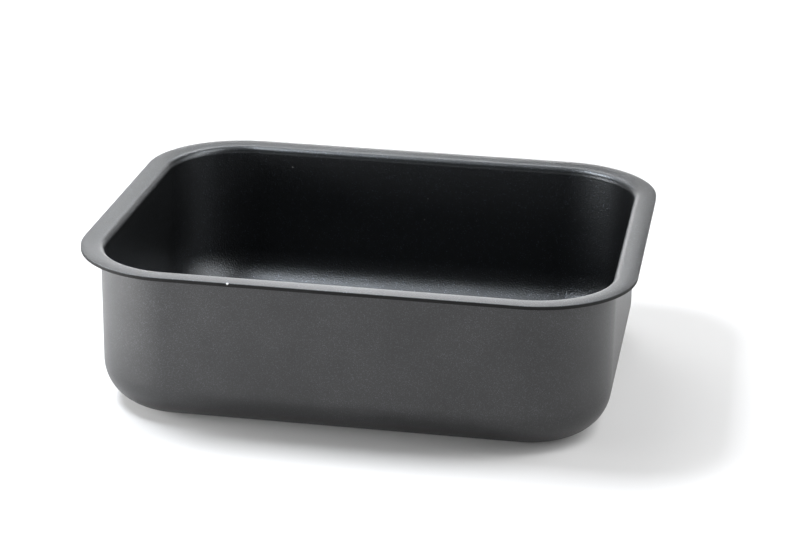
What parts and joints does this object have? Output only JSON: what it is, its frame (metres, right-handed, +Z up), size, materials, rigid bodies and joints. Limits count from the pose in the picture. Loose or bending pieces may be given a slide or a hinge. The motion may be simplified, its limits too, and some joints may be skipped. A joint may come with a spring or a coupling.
{
  "type": "gastronorm pan",
  "caption": "Deep rectangular food pan with rounded corners, large floor radius and a flat carrying rim, drawn from sheet and coated non-stick inside, for ovens, racks and counter wells.",
  "frame": {"origin": "middle of the underside of the floor, on the surface the pan stands on", "axes": "+X along the length of the pan, +Y along its width, +Z up out of the open top"},
  "size_m": [0.325, 0.265, 0.096],
  "materials": {
    "aluminium_sheet": "bare drawn sheet, hidden under the coats",
    "primer": "thin dull bond coat, hidden under the top coat",
    "nonstick_film": "satin charcoal fluoropolymer film with fine mica flake",
    "exterior_film": "satin dark grey heat-proof film with fine mica flake"
  },
  "bodies": {
    "root": {"pan_shell": "aluminium_sheet", "primer_coat": "primer", "nonstick_top_coat": "nonstick_film", "exterior_coat": "exterior_film", "base_coat": "exterior_film"}
  },
  "joints": []
}
